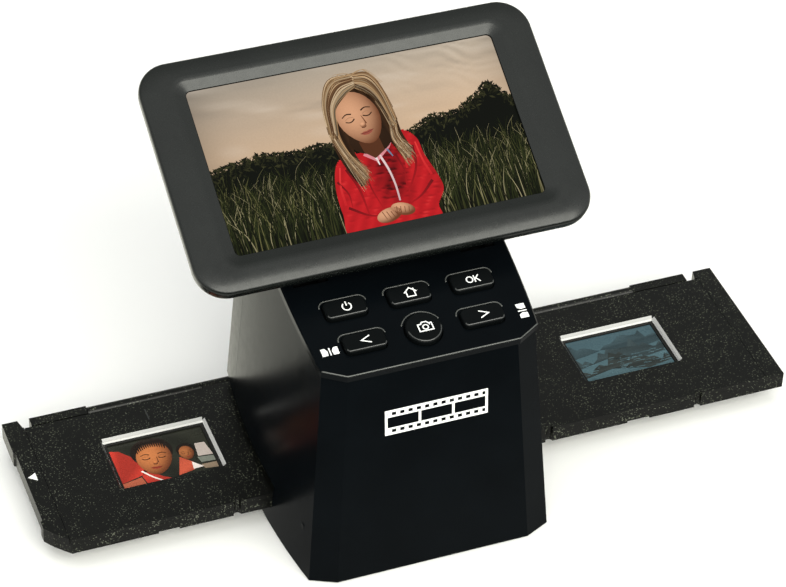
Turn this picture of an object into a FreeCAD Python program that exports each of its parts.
"""Stand-alone film and slide viewer: a sloping tower with a tilting screen, six keys and a slide carrier.

Frame: +X to the right of a person who faces the screen, +Y to the back, +Z up. The origin is on the
floor, under the middle of the tower. Every size is in millimetres and every angle in degrees.
"""
import FreeCAD, Part
import os
import Sketcher
from FreeCAD import Vector

doc = FreeCAD.newDocument("slide_viewer")

# ---------------------------------------------------------------- driving dimensions
SIZES = {
    # tower case, a loft from the floor outline to the deck outline
    "case_gap": 0.6, "case_wall": 2.0, "case_front": 50.7, "case_back": 52.0, "case_front_half": 35.3,
    "case_side_half": 44.3, "case_corner_run": 4.2, "case_bulge": 4.4, "case_seam": 33.0, "seam_gap": 0.15,
    # sloping deck, in its own frame: across, up the slope, out of the deck
    "deck_front": 43.1, "deck_height": 87.1, "deck_slope": 12.6, "deck_length": 93.4, "deck_thick": 3.0,
    "deck_front_half": 30.6, "deck_side_half": 38.5, "deck_corner_run": 4.4, "deck_bulge": 1.9,
    "deck_lip": 0.5, "deck_bevel": 0.5,
    # keys on the deck
    "key_width": 14.8, "key_depth": 7.6, "key_corner": 2.2, "key_rise": 1.9, "key_edge": 0.8,
    "key_gap": 0.3, "key_travel": 0.8, "key_flange": 1.0, "key_flange_thick": 0.8, "key_slack": 0.15,
    "key_stem": 1.5, "key_stem_drop": 1.0, "top_row": 26.5, "low_row": 11.8, "side_keys": 22.6,
    "side_arrows": 20.9, "round_key": 12.8, "switch_size": 6.0, "switch_rise": 1.6, "board_thick": 1.6,
    # slide carrier
    "tray_below": 7.7, "tray_thick": 6.5, "tray_left": 126.7, "tray_right": 150.9, "tray_front": 15.1,
    "tray_back": 49.0, "tray_strip": 7.0, "lid_thick": 2.2, "lid_gap": 0.15, "frame_pitch": 58.77,
    "frame_first": 76.8, "frame_middle": 17.0, "window_width": 37.5, "window_depth": 25.5,
    "window_bevel": 0.7, "tray_notch": 4.0, "hinge_band": 4.3, "hinge_left": 95.9, "hinge_right": 117.3,
    "knuckle_gap": 0.3, "lid_pin": 0.9, "mount_size": 50.0, "mount_thick": 1.5, "mount_gap": 0.4,
    "aperture_width": 34.8, "aperture_depth": 23.2, "film_thick": 0.2, "click_radius": 1.3,
    "hinge_rise": 0.5, "end_grip_back": 33.5, "end_grip_front": 3.0, "end_grip_depth": 0.7,
    # carrier tunnel and guides
    "tunnel_gap": 0.4, "top_gap": 0.9, "tunnel_top": 17.8, "rail_thick": 4.4, "guide_inset": 1.5,
    "guide_thick": 2.5,
    "click_place": 17.0,
    # light panel and camera over the frame window
    "light_width": 42.0, "light_depth": 30.0, "hood_width": 50.0, "hood_depth": 38.0, "hood_wall": 2.0,
    "hood_top": 60.0, "barrel_radius": 7.0, "barrel_length": 14.0, "barrel_wall": 1.4, "lens_thick": 2.6,
    "sensor_level": 70.0, "sensor_board": 30.0, "post_radius": 2.0,
    # main board and sockets on the back
    "main_board_face": 39.6, "main_board_half": 30.0, "main_board_low": 26.0, "main_board_high": 84.0,
    "socket_level": 40.0, "socket_gap": 0.3,
    # screen, in its own frame: across, up the screen, out of the screen; origin in the picture's middle
    "screen_tilt": 27.3, "screen_half": 70.7, "screen_low": 43.7, "screen_high": 43.0,
    "screen_corner": 11.5, "screen_crown": 2.4, "screen_shoulder": 1.0, "lip_run": 7.0,
    "screen_rear": 10.0, "screen_split": 0.6,
    "screen_wall": 2.0, "rear_edge": 9.2, "front_edge": 1.5,
    "picture_width": 110.7, "picture_height": 62.2, "picture_slope": 4.2, "picture_wall": 0.9,
    "picture_corner": 2.0, "ridge_corner": 5.0, "ridge_round": 5.0,
    "tray_corner_run": 7.6, "tray_corner_depth": 8.8, "right_notch_run": 7.2, "left_notch_run": 5.6,
    "notch_width": 4.3,
    "panel_border": 3.2, "panel_thick": 2.0, "panel_gap": 0.05, "plate_thick": 1.6,
    "driver_width": 84.0, "driver_depth": 40.0, "driver_middle": 4.0, "driver_level": 5.2,
    "driver_thick": 1.2, "driver_chip": 9.0,
    # screen hinge
    "pivot_up": 42.43, "pivot_rise": 2.48, "pivot_inset": 6.0, "pivot_drop": 0.62, "pivot_radius": 2.2,
    "pivot_pin": 1.0, "pin_gap": 0.04,
    "pivot_side": 30.0, "leaf_width": 6.0, "ear_width": 2.5, "leaf_length": 14.0, "pivot_clear": 0.35,
    # feet and screws
    "foot_radius": 5.0, "foot_recess": 0.6, "foot_side": 27.0, "foot_front": 36.0, "foot_back": 38.0,
    "screw_radius": 1.5, "screw_head": 2.8, "boss_radius": 3.5, "boss_front": 38.0, "boss_back": 43.5,
}

sheet = doc.addObject("Spreadsheet::Sheet", "sizes")
for row, (alias, value) in enumerate(SIZES.items(), 1):
    sheet.set(f"A{row}", alias)
    sheet.set(f"B{row}", str(value))
    sheet.setAlias(f"B{row}", alias)
doc.recompute()


def ex(text):
    """An expression over the sheet: every size name gets the sheet's own name in front of it."""
    words = []
    word = ""
    for letter in str(text) + " ":
        if letter.isalnum() or letter == "_":
            word += letter
            continue
        words.append(f"sizes.{word}" if word in SIZES else word)
        words.append(letter)
        word = ""
    return "".join(words).strip()


def value_of(text):
    """The number that an expression over the sheet gives now."""
    return float(sheet.evalExpression(ex(text)))


def bind(item, **bindings):
    """Bind properties of an object to expressions; a double underscore stands for a dot."""
    for name, text in bindings.items():
        item.setExpression(name.replace("__", "."), ex(text))


# ---------------------------------------------------------------- frames and derived places
def frame_at(x, y, z, tilt="0"):
    return f"placement(vector({x}; {y}; {z}); rotation(vector(1; 0; 0); {tilt}))"


FLOOR = frame_at("0", "0", "0")
DECK = frame_at("0", "-deck_front", "deck_height", "deck_slope")

TRAY_TOP = "(tray_below + tray_thick)"
LID_LOW = f"({TRAY_TOP} - lid_thick)"
GUIDE_LOW = f"({TRAY_TOP} + top_gap)"
GUIDE_TOP = f"({GUIDE_LOW} + guide_thick)"
PLATE_TOP = "(case_gap + case_wall)"
FLOOR_OF_TUNNEL = "(tray_below - tunnel_gap)"
SWITCH_TOP = "(-deck_thick - key_slack - key_flange_thick - key_stem_drop - key_travel - 0.1)"
BOARD_TOP = f"({SWITCH_TOP} - switch_rise)"
PIVOT_Y = "(-screen_low + pivot_inset)"
PIVOT_Z = "(-screen_rear - pivot_drop)"
SCREEN = (f"{DECK} * placement(vector(0; pivot_up; pivot_rise); rotation(vector(1; 0; 0);"
          f" screen_tilt - deck_slope)) * placement(vector(0; -{PIVOT_Y}; -{PIVOT_Z});"
          f" rotation(vector(1; 0; 0); 0))")
GUIDE_HALF = "(case_side_half - case_wall - guide_inset)"
LEAN = "((case_back - (deck_length * cos(deck_slope) - deck_front)) / deck_height)"
REAR_SKIN = "(-screen_rear + screen_wall)"
RECESS_ROOF = "(-screen_rear + pivot_radius)"

KEYS = {
    "power_button": ("-side_keys", "top_row"), "home_button": ("0", "top_row"),
    "ok_button": ("side_keys", "top_row"), "left_button": ("-side_arrows", "low_row"),
    "right_button": ("side_arrows", "low_row"), "camera_button": ("0", "low_row"),
}
FRAMES = [f"(-frame_first + {i} * frame_pitch)" for i in range(4)]
NODES = {}


def node(name, item, frame=None):
    """Register a finished sub-part: its label is its file's name, and a frame places it."""
    item.Label = name
    if frame:
        item.setExpression("Placement", ex(frame))
    NODES[name] = item
    return item


# ---------------------------------------------------------------- solids and booleans
def box(name, low, high):
    """A block between two corners, each a triple of expressions."""
    item = doc.addObject("Part::Box", name)
    spans = [f"({b}) - ({a})" for a, b in zip(low, high)]
    bind(item, Length=spans[0], Width=spans[1], Height=spans[2], Placement__Base__x=low[0],
         Placement__Base__y=low[1], Placement__Base__z=low[2])
    return item


def slab(name, middle, width, depth, low, high):
    """A block centred on an (x, y) pair of expressions."""
    x, y = middle
    return box(name, (f"({x}) - ({width}) / 2", f"({y}) - ({depth}) / 2", low),
               (f"({x}) + ({width}) / 2", f"({y}) + ({depth}) / 2", high))


def rod(name, start, length, radius, along="z"):
    """A cylinder from a start point along x, y or z."""
    item = doc.addObject("Part::Cylinder", name)
    turn = {"z": ("0; 0; 1", "0"), "x": ("0; 1; 0", "90"), "y": ("1; 0; 0", "-90")}[along]
    place = f"placement(vector({'; '.join(start)}); rotation(vector({turn[0]}); {turn[1]}))"
    bind(item, Radius=radius, Height=length, Placement=place)
    return item


def fuse(name, *items):
    item = doc.addObject("Part::MultiFuse", name)
    item.Shapes = list(items)
    return item


def cut(name, base, *tools):
    item = doc.addObject("Part::Cut", name)
    item.Base = base
    item.Tool = tools[0] if len(tools) == 1 else fuse(name + "_tools", *tools)
    return item


def group(name, *items):
    """Several separate solids in one sub-part."""
    item = doc.addObject("Part::Compound", name)
    item.Links = list(items)
    return item


def edges_of(item, test):
    """Names of an object's straight and curved edges whose bounding box passes a test."""
    doc.recompute()
    return [f"Edge{i}" for i, edge in enumerate(item.Shape.Edges, 1) if test(edge.BoundBox)]


# ---------------------------------------------------------------- sketches and bodies
def sketch_on(body, name, level="0", frame=None):
    """A sketch on the body's XY plane, raised to a level or set in a tilted frame."""
    sketch = body.newObject("Sketcher::SketchObject", name)
    plane = [f for f in body.Origin.OriginFeatures if f.Role == "XY_Plane"][0]
    sketch.AttachmentSupport = [(plane, "")]
    sketch.MapMode = "FlatFace"
    sketch.setExpression("AttachmentOffset", ex(frame or frame_at("0", "0", level)))
    return sketch


def draw_loop(sketch, points, arcs=()):
    """A closed loop through (x, y) expressions; arcs gives {index of first point: radius}."""
    arcs = dict(arcs)
    places = [Vector(value_of(x), value_of(y), 0) for x, y in points]
    first = sketch.GeometryCount
    count = len(points)
    for i, start in enumerate(places):
        end = places[(i + 1) % count]
        if i not in arcs:
            sketch.addGeometry(Part.LineSegment(start, end), False)
            continue
        radius = value_of(arcs[i])
        chord = end - start
        sagitta = radius - max(radius ** 2 - (chord.Length / 2) ** 2, 0) ** 0.5
        outward = Vector(chord.y, -chord.x, 0).normalize()
        sketch.addGeometry(Part.Arc(start, (start + end) / 2 + outward * sagitta, end), False)
    for i, (x, y) in enumerate(points):
        here = first + i
        sketch.addConstraint(Sketcher.Constraint("Coincident", here, 2, first + (i + 1) % count, 1))
        for kind, text, number in (("DistanceX", x, places[i].x), ("DistanceY", y, places[i].y)):
            index = sketch.addConstraint(Sketcher.Constraint(kind, -1, 1, here, 1, number))
            sketch.setExpression(f"Constraints[{index}]", ex(text))
        if i in arcs:
            index = sketch.addConstraint(Sketcher.Constraint("Radius", here, value_of(arcs[i])))
            sketch.setExpression(f"Constraints[{index}]", ex(arcs[i]))


def draw_rounded(sketch, middle, width, depth, corner):
    """A rectangle with round corners about an (x, y) pair of expressions."""
    x, y = middle
    left, right = f"({x}) - ({width}) / 2", f"({x}) + ({width}) / 2"
    low, high = f"({y}) - ({depth}) / 2", f"({y}) + ({depth}) / 2"
    c = f"({corner})"
    points = [(f"{left} + {c}", low), (f"{right} - {c}", low), (right, f"{low} + {c}"),
              (right, f"{high} - {c}"), (f"{right} - {c}", high), (f"{left} + {c}", high),
              (left, f"{high} - {c}"), (left, f"{low} + {c}")]
    draw_loop(sketch, points, {1: corner, 3: corner, 5: corner, 7: corner})


def draw_circle(sketch, middle, radius):
    x, y = middle
    circle = Part.Circle(Vector(value_of(x), value_of(y), 0), Vector(0, 0, 1), value_of(radius))
    index = sketch.addGeometry(circle, False)
    for kind, text in (("DistanceX", x), ("DistanceY", y)):
        at = sketch.addConstraint(Sketcher.Constraint(kind, -1, 1, index, 3, value_of(text)))
        sketch.setExpression(f"Constraints[{at}]", ex(text))
    at = sketch.addConstraint(Sketcher.Constraint("Radius", index, value_of(radius)))
    sketch.setExpression(f"Constraints[{at}]", ex(radius))


def new_body(name):
    return doc.addObject("PartDesign::Body", name)


def pad(body, sketch, length, down=False):
    """Extrude a sketch up, or down, by a length."""
    feature = body.newObject("PartDesign::Pad", sketch.Name + "_pad")
    feature.Profile = sketch
    feature.Reversed = down
    bind(feature, Length=length)
    return feature


def pocket(body, sketch, depth, up=False):
    """Remove a sketch's area downwards, or upwards, from its plane."""
    feature = body.newObject("PartDesign::Pocket", sketch.Name + "_pocket")
    feature.Profile = sketch
    feature.Reversed = up
    bind(feature, Length=depth)
    doc.recompute()
    return feature


def loft(body, kind, low, *higher):
    """A loft through sketches, ruled between two and smooth through more."""
    feature = body.newObject(f"PartDesign::{kind}", low.Name + "_loft")
    feature.Profile = low
    feature.Sections = list(higher)
    feature.Ruled = len(higher) == 1
    doc.recompute()
    return feature


def dress(body, kind, base, size, test):
    """A fillet or chamfer on the edges of the last feature that pass a test."""
    feature = body.newObject(f"PartDesign::{kind}", f"{base.Name}_{kind.lower()}")
    feature.Base = (base, edges_of(base, test))
    bind(feature, **{"Radius" if kind == "Fillet" else "Size": size})
    doc.recompute()
    return feature


def tower_outline(sketch, front, back, front_half, side_half, run, bulge):
    """The tower's plan: straight front and back, slanted corners, and sides that bow outwards."""
    points = [(f"-({front_half})", f"-({front})"), (front_half, f"-({front})"),
              (side_half, f"-({front}) + {run}"), (side_half, f"{back} - ({run})"),
              (front_half, back), (f"-({front_half})", back),
              (f"-({side_half})", f"{back} - ({run})"), (f"-({side_half})", f"-({front}) + {run}")]
    chord = f"(({front} + {back}) / 2 - ({run}))"
    bow = f"({chord} * {chord} + {bulge} * {bulge}) / (2 * {bulge})"
    draw_loop(sketch, points, {2: bow, 6: bow})


def case_section(body, name, inset, level, lid):
    """One level of the tower's wall: the floor outline, or the outline under the deck."""
    half = f"- 0.23 * ({inset})"
    side = f"- 0.89 * ({inset})"
    run = f"- 0.31 * ({inset})"
    if not lid:
        sketch = sketch_on(body, name, level)
        tower_outline(sketch, f"(case_front - {inset})", f"(case_back - {inset})",
                      f"(case_front_half {half})", f"(case_side_half {side})",
                      f"(case_corner_run {run})", "case_bulge")
        return sketch
    under = f"placement(vector(0; deck_length / 2; {level}); rotation(vector(1; 0; 0); 0))"
    sketch = sketch_on(body, name, frame=f"{DECK} * {under}")
    rim = f"(deck_length / 2 - deck_lip - {inset})"
    tower_outline(sketch, rim, rim, f"(deck_front_half - deck_lip {half})",
                  f"(deck_side_half - deck_lip {side})", f"(deck_corner_run {run})", "deck_bulge")
    return sketch


# ---------------------------------------------------------------- tower case
def make_case_half(name, keep_low, keep_high):
    """One half of the tower's shell, cut from the same loft at the seam, with the carrier's tunnel."""
    body = new_body(name + "_body")
    outer = case_section(body, name + "_foot", "0", "case_gap", False)
    loft(body, "AdditiveLoft", outer, case_section(body, name + "_rim", "0", "-deck_thick", True))
    # the hollow starts under the floor outline and ends above the rim, so both ends are open
    below = case_section(body, name + "_foot_inside", "case_wall", "case_gap", False)
    loft(body, "SubtractiveLoft", below,
         case_section(body, name + "_rim_inside", "case_wall", "-deck_thick", True))
    reach = "(case_side_half + case_bulge + 5)"
    tunnel = sketch_on(body, name + "_tunnel", FLOOR_OF_TUNNEL)
    slot_back = "(tray_back + tunnel_gap)"
    draw_loop(tunnel, [(f"-{reach}", "-tray_front - tunnel_gap"), (reach, "-tray_front - tunnel_gap"),
                       (reach, slot_back), (f"-{reach}", slot_back)])
    pocket(body, tunnel, f"tunnel_top - {FLOOR_OF_TUNNEL}", up=True)
    trim = sketch_on(body, name + "_trim", "-10")
    draw_loop(trim, [(f"-{reach}", keep_high), (reach, keep_high), (reach, keep_low),
                     (f"-{reach}", keep_low)][::-1])
    pocket(body, trim, "deck_height + 60", up=True)
    return body


def bowed_wall(y):
    """Half-width of the tower's inner wall near the floor at a given y."""
    middle = "((case_back - case_front) / 2)"
    chord = "((case_front + case_back) / 2 - case_corner_run)"
    return f"(case_side_half + case_bulge * (1 - ({y} - {middle})^2 / {chord}^2) - case_wall)"


def make_bosses(name, y, top):
    """Two round screw bosses that grow out of the side walls just over the bottom plate."""
    centre = f"({bowed_wall(y)} - boss_radius + 0.35)"
    solids = []
    for side, sign in (("left", "-1"), ("right", "1")):
        place = (f"{sign} * {centre}", y, PLATE_TOP)
        pillar = rod(f"{name}_{side}", place, f"{top} - {PLATE_TOP}", "boss_radius")
        hole = rod(f"{name}_{side}_hole", place, "3.2", "screw_radius - 0.2")
        solids.append(cut(f"{name}_{side}_drilled", pillar, hole))
    return solids


def make_case():
    front = make_case_half("front_shell", "case_seam", "case_back + 20")
    bosses = make_bosses("front_boss", "-boss_front", "20")
    node("front_cover", fuse("front_cover_solid", front, *bosses))
    rear = make_case_half("rear_shell", "-case_front - 20", "case_seam + seam_gap")
    bosses = make_bosses("rear_boss", "boss_back", FLOOR_OF_TUNNEL)
    holes = [slab(f"{name}_hole", (x, "case_back"), f"{width} + 2 * socket_gap", "20",
                  f"socket_level + {level} - socket_gap", f"socket_level + {level} + {rise} + socket_gap")
             for name, x, level, width, rise in SOCKETS]
    node("rear_cover", cut("rear_cover_solid", fuse("rear_cover_blank", rear, *bosses), *holes))


def make_base():
    """Bottom plate with four foot recesses and four screw holes; the feet and screws."""
    body = new_body("base_plate_body")
    draft = "(case_side_half - deck_side_half) / deck_height"
    inset = f"(case_wall + 0.2 + 1.2 * case_wall * {draft})"
    outline = case_section(body, "base_plate_outline", inset, "case_gap", False)
    pad(body, outline, "case_wall")
    feet, recesses, screws, drills = [], [], [], []
    for tag, sign in (("left", "-1"), ("right", "1")):
        for end, y in (("front", "-foot_front"), ("back", "foot_back")):
            place = (f"{sign} * foot_side", y, "0")
            feet.append(rod(f"foot_{tag}_{end}", place, "case_gap + foot_recess", "foot_radius"))
            recesses.append(rod(f"recess_{tag}_{end}", place, "case_gap + foot_recess", "foot_radius"))
        for end, y in (("front", "-boss_front"), ("back", "boss_back")):
            x = f"{sign} * ({bowed_wall(y)} - boss_radius + 0.35)"
            place = (x, y, "case_gap")
            head = rod(f"screw_head_{tag}_{end}", place, "1.2", "screw_head")
            shank = rod(f"screw_shank_{tag}_{end}", place, "case_wall + 3", "screw_radius - 0.25")
            cross = [slab(f"screw_cross_{tag}_{end}_{k}", (x, y), a, b, "case_gap", "case_gap + 0.7")
                     for k, (a, b) in enumerate((("2.6", "0.6"), ("0.6", "2.6")))]
            screws.append(cut(f"screw_{tag}_{end}", fuse(f"screw_blank_{tag}_{end}", head, shank), *cross))
            drills.append(rod(f"drill_{tag}_{end}", place, "case_wall", "screw_radius"))
            drills.append(rod(f"sink_{tag}_{end}", place, "1.2", "screw_head + 0.2"))
    node("base_plate", cut("base_plate_solid", body, *recesses, *drills))
    node("rubber_feet", group("rubber_feet_group", *feet))
    node("base_screws", group("base_screws_group", *screws))


# ---------------------------------------------------------------- deck and keys
def make_deck():
    """The sloping top plate with bevelled rims, six key openings and two hinge windows."""
    body = new_body("control_deck_body")
    shift = "placement(vector(0; deck_length / 2; 0); rotation(vector(1; 0; 0); 0))"
    outline = sketch_on(body, "deck_outline", frame=shift)
    tower_outline(outline, "(deck_length / 2)", "(deck_length / 2)", "deck_front_half",
                  "deck_side_half", "deck_corner_run", "deck_bulge")
    plate = pad(body, outline, "deck_thick", down=True)
    doc.recompute()
    rim = dress(body, "Chamfer", plate, "deck_bevel", lambda b: b.ZMin > -0.01)
    doc.recompute()
    for name, (x, y) in KEYS.items():
        hole = sketch_on(body, name + "_opening", "1")
        if name == "camera_button":
            draw_circle(hole, (x, y), "round_key / 2 + key_gap")
        else:
            draw_rounded(hole, (x, y), "key_width + 2 * key_gap", "key_depth + 2 * key_gap",
                         "key_corner + key_gap")
        rim = pocket(body, hole, "deck_thick + 2")
    windows = [slab(f"hinge_window_{tag}", (f"{sign} * pivot_side", "pivot_up"),
                    "leaf_width + 2 * ear_width + 4 * pivot_clear", "2 * pivot_radius + 1.2",
                    "-deck_thick - 1", "1") for tag, sign in (("left", "-1"), ("right", "1"))]
    node("control_deck", cut("control_deck_solid", body, *windows), DECK)


def make_key(name, x, y):
    """A key cap with a round edge, a flange that keeps it in the deck, and a stem for its switch."""
    body = new_body(name + "_body")
    flange_top = "(-deck_thick - key_slack)"
    bottom = f"({flange_top} - key_flange_thick)"
    cap = sketch_on(body, name + "_cap", "key_rise")
    rim = sketch_on(body, name + "_rim", bottom)
    if name == "camera_button":
        draw_circle(cap, ("0", "0"), "round_key / 2")
        draw_circle(rim, ("0", "0"), "round_key / 2 + key_flange")
    else:
        draw_rounded(cap, ("0", "0"), "key_width", "key_depth", "key_corner")
        draw_rounded(rim, ("0", "0"), "key_width + 2 * key_flange", "key_depth + 2 * key_flange",
                     "key_corner + key_flange")
    block = pad(body, cap, f"key_rise - ({bottom})", down=True)
    doc.recompute()
    top = value_of("key_rise") - 0.01
    dress(body, "Fillet", block, "key_edge", lambda b: b.ZMin > top)
    pad(body, rim, "key_flange_thick")
    stem = sketch_on(body, name + "_stem", bottom)
    draw_circle(stem, ("0", "0"), "key_stem")
    pad(body, stem, "key_stem_drop", down=True)
    place = f"placement(vector({x}; {y}; 0); rotation(vector(1; 0; 0); 0))"
    node(name, body, f"{DECK} * {place}")


def make_key_board():
    """The board under the keys, with one dome switch for each."""
    domes = [fuse(f"{name}_switch", slab(f"{name}_switch_base", (x, y), "switch_size", "switch_size",
                                         BOARD_TOP, f"{SWITCH_TOP} - 0.5"),
                  rod(f"{name}_switch_dome", (x, y, BOARD_TOP), "switch_rise", "1.7"))
             for name, (x, y) in KEYS.items()]
    board = slab("button_board_plate", ("0", "(top_row + low_row) / 2"), "2 * side_keys + 16",
                 "top_row - low_row + 14", f"{BOARD_TOP} - board_thick", BOARD_TOP)
    node("button_board", board)
    board.setExpression("Placement", ex(f"{DECK} * placement(vector(-side_keys - 8; low_row - 7;"
                                        f" {BOARD_TOP} - board_thick); rotation(vector(1; 0; 0); 0))"))
    node("dome_switches", group("dome_switches_group", *domes), DECK)


# ---------------------------------------------------------------- carrier guides and light
def make_guides():
    """The lower track with its front rail and click ball, and the plate over the carrier."""
    front = "(-tray_front - tunnel_gap - rail_thick)"
    track = box("track_block", (f"-{GUIDE_HALF}", front, PLATE_TOP),
                (GUIDE_HALF, "boss_back - 5", FLOOR_OF_TUNNEL))
    rail = box("track_rail", (f"-{GUIDE_HALF}", front, PLATE_TOP),
               (GUIDE_HALF, "-tray_front - tunnel_gap", GUIDE_LOW))
    well = slab("light_well", ("0", "frame_middle"), "light_width + 1", "light_depth + 6",
                f"{PLATE_TOP} - 1", f"{FLOOR_OF_TUNNEL} + 1")
    level = f"tray_below + tray_thick / 2"
    bore = rod("click_bore", ("click_place", f"{front} - 1", level), "rail_thick + 2", "2", "y")
    node("lower_guide", cut("lower_guide_solid", fuse("lower_guide_blank", track, rail), well, bore))
    sleeve = rod("click_sleeve_tube", ("click_place", front, level), "rail_thick", "2", "y")
    inside = rod("click_sleeve_bore", ("click_place", f"{front} + 1", level), "rail_thick", "1.25", "y")
    node("click_sleeve", cut("click_sleeve_solid", sleeve, inside))
    ball = doc.addObject("Part::Sphere", "click_ball_solid")
    bind(ball, Radius="1.2", Placement__Base__x="click_place",
         Placement__Base__y="-tray_front - 0.1 - 1.2", Placement__Base__z=level)
    node("click_ball", ball)
    plate = box("upper_plate", (f"-{GUIDE_HALF}", front, GUIDE_LOW),
                (GUIDE_HALF, "case_back - case_corner_run - case_wall", GUIDE_TOP))
    window = slab("upper_window", ("0", "frame_middle"), "hood_width - 2 * hood_wall - 2",
                  "hood_depth - 2 * hood_wall - 2", f"{GUIDE_LOW} - 1", f"{GUIDE_TOP} + 1")
    node("upper_guide", cut("upper_guide_solid", plate, window))


def make_light():
    """Edge-lit light panel under the frame window: LED strip, light guide and diffuser."""
    middle = ("0", "frame_middle + 1.5")
    low = f"({PLATE_TOP} + 0.1)"
    node("light_guide_panel", slab("light_guide_solid", middle, "light_width", "light_depth",
                                   low, f"{low} + 2"))
    node("light_diffuser", slab("light_diffuser_solid", middle, "light_width", "light_depth",
                                f"{low} + 2.1", f"{FLOOR_OF_TUNNEL} - 0.1"))
    back = "(frame_middle + 1.5 - light_depth / 2)"
    board = box("led_board", ("-light_width / 2", f"{back} - 1.6", low),
                ("light_width / 2", f"{back} - 0.8", f"{low} + 2"))
    lamps = [slab(f"led_{i}", (f"light_width * {i - 2.5} / 6", f"{back} - 0.5"), "3", "0.6",
                  f"{low} + 0.4", f"{low} + 1.6") for i in range(6)]
    node("led_strip", fuse("led_strip_solid", board, *lamps))


# ---------------------------------------------------------------- camera
def make_camera():
    """The hood over the frame window, the lens barrel with two lenses, and the sensor on its board."""
    middle = ("0", "frame_middle")
    outer = slab("hood_outer", middle, "hood_width", "hood_depth", GUIDE_TOP, "hood_top")
    inner = slab("hood_inner", middle, "hood_width - 2 * hood_wall", "hood_depth - 2 * hood_wall",
                 f"{GUIDE_TOP} - 1", "hood_top - hood_wall")
    mouth = rod("hood_mouth", ("0", "frame_middle", "hood_top - 5"), "10", "barrel_radius + 0.05")
    posts = [rod(f"hood_post_{i}", (f"{sx} * (sensor_board / 2 - 3)",
                                    f"frame_middle + {sy} * (sensor_board / 2 - 3)", "hood_top - 1"),
                 "sensor_level - hood_top + 1", "post_radius")
             for i, (sx, sy) in enumerate(((-1, -1), (1, -1), (1, 1), (-1, 1)))]
    node("camera_hood", fuse("camera_hood_solid", cut("hood_shell", outer, inner, mouth), *posts))
    low = "(hood_top - barrel_length / 2 - 1)"
    tube = rod("barrel_tube", ("0", "frame_middle", low), "barrel_length", "barrel_radius")
    bore = rod("barrel_bore", ("0", "frame_middle", f"{low} + lens_thick + 1.2"),
               "barrel_length - 2 * lens_thick - 2.4", "barrel_radius - barrel_wall - 1.5")
    seats = [rod(f"barrel_seat_{i}", ("0", "frame_middle", z), "lens_thick + 1.2",
                 "barrel_radius - barrel_wall")
             for i, z in enumerate((low, f"{low} + barrel_length - lens_thick - 1.2"))]
    node("lens_barrel", cut("lens_barrel_solid", tube, bore, *seats))
    for name, z in (("front_lens", f"{low} + 1.2"),
                    ("rear_lens", f"{low} + barrel_length - lens_thick - 1.2")):
        blank = rod(name + "_blank", ("0", "frame_middle", z), "lens_thick", "barrel_radius - barrel_wall")
        node(name, blank)
    level = "sensor_level"
    node("sensor_board", slab("sensor_board_solid", middle, "sensor_board", "sensor_board",
                              level, f"{level} + board_thick"))
    node("image_sensor", slab("image_sensor_solid", middle, "12", "9", f"{level} - 1.2", level))


# ---------------------------------------------------------------- main board and sockets
# name, x, height over the socket level, width, rise
SOCKETS = [("usb_c_socket", "-18", "0", "9", "3.3"), ("hdmi_socket", "4", "0", "15", "5.6"),
           ("sd_card_socket", "0", "14", "26", "3.2")]


def make_boards():
    """The upright main board with its chips, and the sockets that reach the back wall."""
    face = "main_board_face"
    board = box("main_board_solid", ("-main_board_half", f"{face} - board_thick", "main_board_low"),
                ("main_board_half", face, "main_board_high"))
    node("main_board", board)
    chips = [box(f"chip_{i}", (x, face, z), (f"{x} + {w}", f"{face} + 1.2", f"{z} + {rise}"))
             for i, (x, z, w, rise) in enumerate((("-24", "62", "14", "14"), ("-4", "64", "12", "10"),
                                                  ("14", "62", "8", "16")))]
    node("board_chips", group("board_chips_group", *chips))
    for name, x, level, width, rise in SOCKETS:
        low = f"(socket_level + {level})"
        mouth = f"(case_back - {LEAN} * ({low} + 8) - 0.2)"
        shell = box(name + "_shell", (f"{x} - {width} / 2", face, low),
                    (f"{x} + {width} / 2", mouth, f"{low} + {rise}"))
        hollow = box(name + "_hollow", (f"{x} - {width} / 2 + 0.4", f"{face} + 1", f"{low} + 0.4"),
                     (f"{x} + {width} / 2 - 0.4", f"{mouth} + 1", f"{low} + {rise} - 0.4"))
        tongue = box(name + "_tongue", (f"{x} - {width} / 2 + 1.4", f"{face} + 0.5", f"{low} + {rise} * 0.4"),
                     (f"{x} + {width} / 2 - 1.4", f"{mouth} - 1.2", f"{low} + {rise} * 0.6"))
        node(name, fuse(name + "_solid", cut(name + "_can", shell, hollow), tongue))


# ---------------------------------------------------------------- slide carrier
def carrier_windows(name, low, high, width="window_width", depth="window_depth"):
    return [slab(f"{name}_{i}", (x, "frame_middle"), width, depth, low, high)
            for i, x in enumerate(FRAMES)]


def hinge_steps():
    """Five lengths of the lid hinge from left to right, as (start, end) expressions."""
    length = "(hinge_left + hinge_right) / 5"
    return [(f"(-hinge_left + {i} * {length} + knuckle_gap / 2)",
             f"(-hinge_left + {i + 1} * {length} - knuckle_gap / 2)") for i in range(5)]


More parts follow.
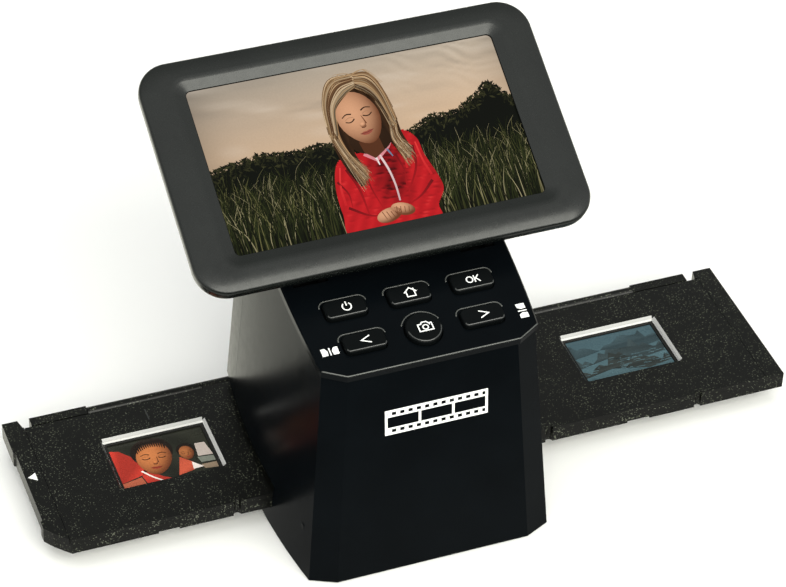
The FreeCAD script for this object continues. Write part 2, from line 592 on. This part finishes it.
def make_carrier():
    """The carrier: a base with four slide pockets, a hinged lid over them, and the slides."""
    body = new_body("carrier_base_body")
    outline = sketch_on(body, "carrier_outline", "tray_below")
    left, right, front, back = "-tray_left", "tray_right", "-tray_front", "tray_back"
    right_notch, left_notch = f"{right} - right_notch_run", f"{left} + left_notch_run"
    points = [(f"{left} + tray_corner_run", front), (right, front), (right, back),
              (right_notch, back), (f"{right_notch} - 1", f"{back} - tray_notch"),
              (f"{right_notch} - notch_width", f"{back} - tray_notch"),
              (f"{right_notch} - notch_width", back),
              (f"{left_notch} + notch_width", back), (f"{left_notch} + notch_width", f"{back} - tray_notch"),
              (f"{left_notch} + 1", f"{back} - tray_notch"), (left_notch, back), (left, back),
              (left, "end_grip_back"), (f"{left} + end_grip_depth", "end_grip_back - 0.5"),
              (f"{left} + end_grip_depth", "-end_grip_front + 0.5"), (left, "-end_grip_front"),
              (left, f"{front} + tray_corner_depth"),
              (f"{left} + tray_corner_run / 3", f"{front} + tray_corner_depth * 0.6")]
    draw_loop(outline, points)
    block = pad(body, outline, "tray_thick")
    lid_low = LID_LOW
    bed = box("lid_bed", (f"{left} + tray_strip", f"{front} - 1", lid_low),
              (f"{right} - tray_strip", f"{back} - hinge_band", f"{TRAY_TOP} + 1"))
    trough = box("hinge_trough", ("-hinge_left", f"{back} - hinge_band", f"{lid_low} - hinge_band / 2"),
                 ("hinge_right", f"{back} + 1", f"{TRAY_TOP} + 1"))
    rear_bed = [box(f"rear_bed_{i}", (a, f"{back} - hinge_band - 1", lid_low),
                    (b, f"{back} - hinge_band + 0.3", f"{TRAY_TOP} + 1"))
                for i, (a, b) in enumerate(((f"{left} + tray_strip", "-hinge_left"),
                                            ("hinge_right", f"{right} - tray_strip")))]
    pockets = carrier_windows("pocket", f"{lid_low} - mount_thick - 0.05", f"{TRAY_TOP} + 1",
                              "mount_size + 2 * mount_gap", "mount_size + 2 * mount_gap")
    windows = carrier_windows("base_window", "tray_below - 1", f"{TRAY_TOP} + 1")
    clicks = [rod(f"click_notch_{i}", (f"{x} + click_place", "-tray_front", "tray_below - 1"),
                  f"{lid_low} - tray_below + 1.01", "click_radius") for i, x in enumerate(FRAMES)]
    grips = [box(f"grip_notch_{i}", (a, f"{front} - 1", "tray_below - 1"),
                 (b, f"{front} + 3", "tray_below + 0.8"))
             for i, (a, b) in enumerate((("-88.2", "-80.7"), ("88.6", "97.5")))]
    shell = cut("carrier_base_cut", body, bed, trough, *rear_bed, *pockets, *windows, *clicks, *grips)
    axis_y, axis_z = f"{back} - hinge_band / 2", f"{TRAY_TOP} + hinge_rise - hinge_band / 2 + 0.15"
    barrel = "hinge_band / 2 - 0.15"
    base_knuckles, lid_knuckles, pins, arms = [], [], [], []
    for i, (start, end) in enumerate(hinge_steps()):
        drum = rod(f"knuckle_{i}", (start, axis_y, axis_z), f"{end} - {start}", barrel, "x")
        if i % 2 == 0:
            foot = box(f"knuckle_foot_{i}", (start, axis_y, f"{lid_low} - hinge_band / 2"),
                       (end, back, axis_z))
            base_knuckles += [drum, foot]
            continue
        arm = box(f"knuckle_arm_{i}", (start, f"{back} - hinge_band - 1", f"{lid_low} + 0.1"),
                  (end, axis_y, TRAY_TOP))
        lid_knuckles += [drum, arm]
    pin_start = "-hinge_left + 1"
    pin_length = "hinge_left + hinge_right - 2"
    bore = rod("lid_pin_bore", (pin_start, axis_y, axis_z), pin_length, "lid_pin + 0.02", "x")
    node("carrier_base", cut("carrier_base_solid", fuse("carrier_base_blank", shell, *base_knuckles), bore))
    node("lid_hinge_pin", rod("lid_hinge_pin_rod", (pin_start, axis_y, axis_z), pin_length, "lid_pin", "x"))
    make_carrier_lid(lid_knuckles, (pin_start, axis_y, axis_z), pin_length)
    make_slides()


def make_carrier_lid(knuckles, pin_start, pin_length):
    """The lid: one plate with four bevelled windows and the lid's share of the hinge."""
    body = new_body("carrier_lid_body")
    low = f"({LID_LOW} + 0.05)"
    outline = sketch_on(body, "lid_outline", low)
    left, right = "-tray_left + tray_strip + lid_gap", "tray_right - tray_strip - lid_gap"
    draw_loop(outline, [(left, "-tray_front"), (right, "-tray_front"),
                        (right, "tray_back - hinge_band - lid_gap"),
                        (left, "tray_back - hinge_band - lid_gap")])
    plate = pad(body, outline, f"{TRAY_TOP} - {low}")
    doc.recompute()
    holes = sketch_on(body, "lid_windows", f"{TRAY_TOP} + 1")
    for x in FRAMES:
        draw_rounded(holes, (x, "frame_middle"), "window_width", "window_depth", "0.6")
    opened = pocket(body, holes, "lid_thick + 2")
    top = value_of(TRAY_TOP)
    half = value_of("window_width") / 2 + 0.1
    middles = [value_of(x) for x in FRAMES]
    dress(body, "Chamfer", opened, "window_bevel",
          lambda b: b.ZMin > top - 0.01 and any(abs(b.XMin - m) < half and abs(b.XMax - m) < half
                                                for m in middles))
    bore = rod("lid_knuckle_bore", pin_start, pin_length, "lid_pin + 0.02", "x")
    clicks = [rod(f"lid_click_{i}", (f"{x} + click_place", "-tray_front", low), "lid_thick + 1",
                  "click_radius") for i, x in enumerate(FRAMES)]
    node("carrier_lid", cut("carrier_lid_solid", fuse("carrier_lid_blank", body, *knuckles), bore, *clicks))


def make_slides():
    """Four framed slides: a mount with a bright aperture, and the film chip that fills it."""
    low = f"({LID_LOW} - mount_thick)"
    for i, x in enumerate(FRAMES, 1):
        frame = slab(f"mount_{i}_blank", (x, "frame_middle"), "mount_size", "mount_size",
                     low, f"{low} + mount_thick")
        gate = slab(f"mount_{i}_gate", (x, "frame_middle"), "aperture_width", "aperture_depth",
                    f"{low} - 1", f"{low} + mount_thick + 1")
        node(f"slide_mount_{i}", cut(f"slide_mount_{i}_solid", frame, gate))
        level = f"({low} + mount_thick / 2)"
        node(f"slide_film_{i}", slab(f"film_{i}_solid", (x, "frame_middle"), "aperture_width",
                                     "aperture_depth", level, f"{level} + film_thick"))


# ---------------------------------------------------------------- screen
LIP = ((0, 0), (0.5, 0.76), (1, 1))  # how the bezel climbs from its shoulder to its crown: (run, rise)


def make_screen():
    """The tilting screen: front bezel, rear cover, and the panel, plate and board between them."""
    middle = ("0", "(screen_high - screen_low) / 2")
    width, height = "2 * screen_half", "screen_low + screen_high"
    body = new_body("screen_bezel_body")
    outline = sketch_on(body, "bezel_outline", "screen_shoulder")
    draw_rounded(outline, middle, width, height, "screen_corner")
    pad(body, outline, "screen_shoulder + screen_split", down=True)
    sections = []
    for i, (share, rise) in enumerate(LIP):
        ring = sketch_on(body, f"bezel_lip_{i}",
                         f"screen_shoulder + {rise} * (screen_crown - screen_shoulder)")
        draw_rounded(ring, middle, f"{width} - 2 * {share} * lip_run", f"{height} - 2 * {share} * lip_run",
                     f"screen_corner - {share} * lip_run")
        sections.append(ring)
    crowned = loft(body, "AdditiveLoft", *sections)
    shoulder, crown = value_of("screen_shoulder"), value_of("screen_crown")
    dress(body, "Fillet", crowned, "front_edge",
          lambda b: abs(b.ZMin - shoulder) < 0.01 and abs(b.ZMax - shoulder) < 0.01)
    ridge = sketch_on(body, "bezel_ridge", "screen_crown + 0.01")
    draw_rounded(ridge, ("0", "0"), "picture_width + 2 * picture_slope", "picture_height + 2 * picture_slope",
                 "ridge_corner")
    brink = sketch_on(body, "bezel_brink", "picture_wall")
    draw_rounded(brink, ("0", "0"), "picture_width", "picture_height", "picture_corner")
    sloped = loft(body, "SubtractiveLoft", ridge, brink)
    across = value_of("picture_width / 2 + picture_slope") + 0.1
    along = value_of("picture_height / 2 + picture_slope") + 0.1
    dress(body, "Fillet", sloped, "ridge_round",
          lambda b: b.ZMin > crown - 0.01 and b.XMax < across and b.XMin > -across
          and b.YMax < along and b.YMin > -along)
    opening = sketch_on(body, "bezel_opening", "screen_crown + 1")
    draw_rounded(opening, ("0", "0"), "picture_width", "picture_height", "picture_corner")
    pocket(body, opening, "screen_crown + screen_split + 2")
    bay = sketch_on(body, "bezel_bay", "-screen_split - 1")
    draw_rounded(bay, ("0", "0"), "picture_width + 2 * panel_border + 1",
                 "picture_height + 2 * panel_border + 1", "1")
    pocket(body, bay, "screen_split + 1", up=True)
    node("screen_bezel", body, SCREEN)

    body = new_body("screen_rear_body")
    outline = sketch_on(body, "rear_outline", "-screen_rear")
    draw_rounded(outline, middle, width, height, "screen_corner")
    block = pad(body, outline, "screen_rear - screen_split")
    doc.recompute()
    rear = value_of("-screen_rear")
    edge = dress(body, "Fillet", block, "rear_edge", lambda b: b.ZMax < rear + 0.01)
    cavity = sketch_on(body, "rear_cavity", "-screen_split + 1")
    inset = "(rear_edge - screen_wall)"
    draw_rounded(cavity, middle, f"{width} - 2 * {inset}", f"{height} - 2 * {inset}", "screen_corner - 6")
    pocket(body, cavity, f"-screen_split + 1 - {REAR_SKIN}")
    blocks, recesses, leaves = [], [], []
    for tag, sign in (("left", "-1"), ("right", "1")):
        x = f"{sign} * pivot_side"
        wide = "leaf_width + 2 * ear_width + 4 * pivot_clear"
        blocks.append(box(f"hinge_block_{tag}", (f"{x} - ({wide}) / 2 - 2", "-screen_low + 5",
                                                 "-screen_rear + 1"),
                          (f"{x} + ({wide}) / 2 + 2", f"{PIVOT_Y} + leaf_length + 2",
                           f"{RECESS_ROOF} + 1.6")))
        recesses.append(box(f"ear_recess_{tag}", (f"{x} - ({wide}) / 2", "-screen_low - 1",
                                                  "-screen_rear - 1"),
                            (f"{x} + ({wide}) / 2", f"{PIVOT_Y} + 2.8", RECESS_ROOF)))
        recesses.append(box(f"leaf_recess_{tag}", (f"{x} - leaf_width / 2 - 0.1", f"{PIVOT_Y}",
                                                   "-screen_rear - 1"),
                            (f"{x} + leaf_width / 2 + 0.1", f"{PIVOT_Y} + leaf_length + 0.1", RECESS_ROOF)))
        leaves.append((tag, x))
    node("screen_rear_cover", cut("screen_rear_solid", fuse("screen_rear_blank", body, *blocks), *recesses),
         SCREEN)
    make_hinges(leaves)
    make_panel()


def make_hinges(leaves):
    """Two friction hinges: a leaf on the screen, a fork on the tower, and the pin between them."""
    for tag, x in leaves:
        plate = box(f"leaf_plate_{tag}", (f"{x} - leaf_width / 2", PIVOT_Y, "-screen_rear + 0.3"),
                    (f"{x} + leaf_width / 2", f"{PIVOT_Y} + leaf_length", RECESS_ROOF))
        drum = rod(f"leaf_drum_{tag}", (f"{x} - leaf_width / 2", PIVOT_Y, PIVOT_Z), "leaf_width",
                   "pivot_radius", "x")
        eye = rod(f"leaf_eye_{tag}", (f"{x} - leaf_width / 2 - 1", PIVOT_Y, PIVOT_Z), "leaf_width + 2",
                  "pivot_pin + pin_gap", "x")
        node(f"hinge_leaf_{tag}", cut(f"hinge_leaf_{tag}_solid", fuse(f"leaf_blank_{tag}", plate, drum), eye),
             SCREEN)
        outer = "(leaf_width / 2 + 0.3 + ear_width)"
        ears = []
        for side, start in (("in", f"{x} - ({outer})"), ("out", f"{x} + leaf_width / 2 + 0.3")):
            ears.append(rod(f"ear_{tag}_{side}", (start, "pivot_up", "pivot_rise"), "ear_width",
                            "pivot_radius - 0.4", "x"))
            ears.append(box(f"ear_arm_{tag}_{side}", (start, "pivot_up - pivot_radius + 0.4",
                                                      "-deck_thick - 1"),
                            (f"{start} + ear_width", "pivot_up + pivot_radius - 0.4", "pivot_rise")))
        foot = slab(f"fork_foot_{tag}", (x, "pivot_up + 4"), f"2 * ({outer})", "16",
                    "-deck_thick - 2.05", "-deck_thick - 0.05")
        bore = rod(f"fork_bore_{tag}", (f"{x} - {outer} - 1", "pivot_up", "pivot_rise"),
                   f"2 * ({outer}) + 2", "pivot_pin", "x")
        fork = cut(f"hinge_fork_{tag}_solid", fuse(f"fork_blank_{tag}", foot, *ears), bore)
        node(f"hinge_fork_{tag}", fork, DECK)
    pins = [rod(f"hinge_pin_{tag}", (f"{x} - leaf_width / 2 - 0.3 - ear_width", "pivot_up", "pivot_rise"),
                "leaf_width + 0.6 + 2 * ear_width", "pivot_pin", "x") for tag, x in leaves]
    node("hinge_pins", group("hinge_pins_group", *pins), DECK)


def make_panel():
    """The picture panel, the metal plate behind it and the screen's driver board with its chips."""
    wide, tall = "picture_width + 2 * panel_border", "picture_height + 2 * panel_border"
    for name, low, high in (("lcd_panel", "-panel_thick", "-panel_gap"),
                            ("lcd_back_plate", "-panel_thick - plate_thick", "-panel_thick - panel_gap")):
        plate = slab(name + "_solid", ("0", "0"), wide, tall, low, high)
        node(name, group(name + "_group", plate), SCREEN)
    middle, top = "driver_middle", "-driver_level"
    board = slab("screen_board_plate", ("0", middle), "driver_width", "driver_depth",
                 f"{top} - driver_thick", top)
    chips = [slab(f"screen_chip_{i}", (x, middle), "driver_chip", "driver_chip", top, f"{top} + 1")
             for i, x in enumerate(("-20", "16"))]
    node("screen_board", fuse("screen_board_solid", board, *chips), SCREEN)


# ---------------------------------------------------------------- build, check and write
make_case()
make_base()
make_deck()
for key_name, (key_x, key_y) in KEYS.items():
    make_key(key_name, key_x, key_y)
make_key_board()
make_guides()
make_light()
make_camera()
make_boards()
make_carrier()
make_screen()
doc.recompute()

failed = [o.Label for o in doc.Objects if {"Invalid", "Error"} & set(o.State)]
if failed:
    raise RuntimeError(f"these features failed: {failed}")
for label, item in NODES.items():
    if item.Shape.isNull() or not item.Shape.isValid() or not item.Shape.Solids:
        raise RuntimeError(f"{label} is not a valid solid")

os.makedirs("parts", exist_ok=True)
for label, item in NODES.items():
    item.Shape.exportStep(os.path.join("parts", label + ".step"))
    box_of = item.Shape.BoundBox
    print(f"{label}: {len(item.Shape.Solids)} solids, {item.Shape.Volume:.1f} mm3,"
          f" x {box_of.XMin:.1f}..{box_of.XMax:.1f}, y {box_of.YMin:.1f}..{box_of.YMax:.1f},"
          f" z {box_of.ZMin:.1f}..{box_of.ZMax:.1f}")
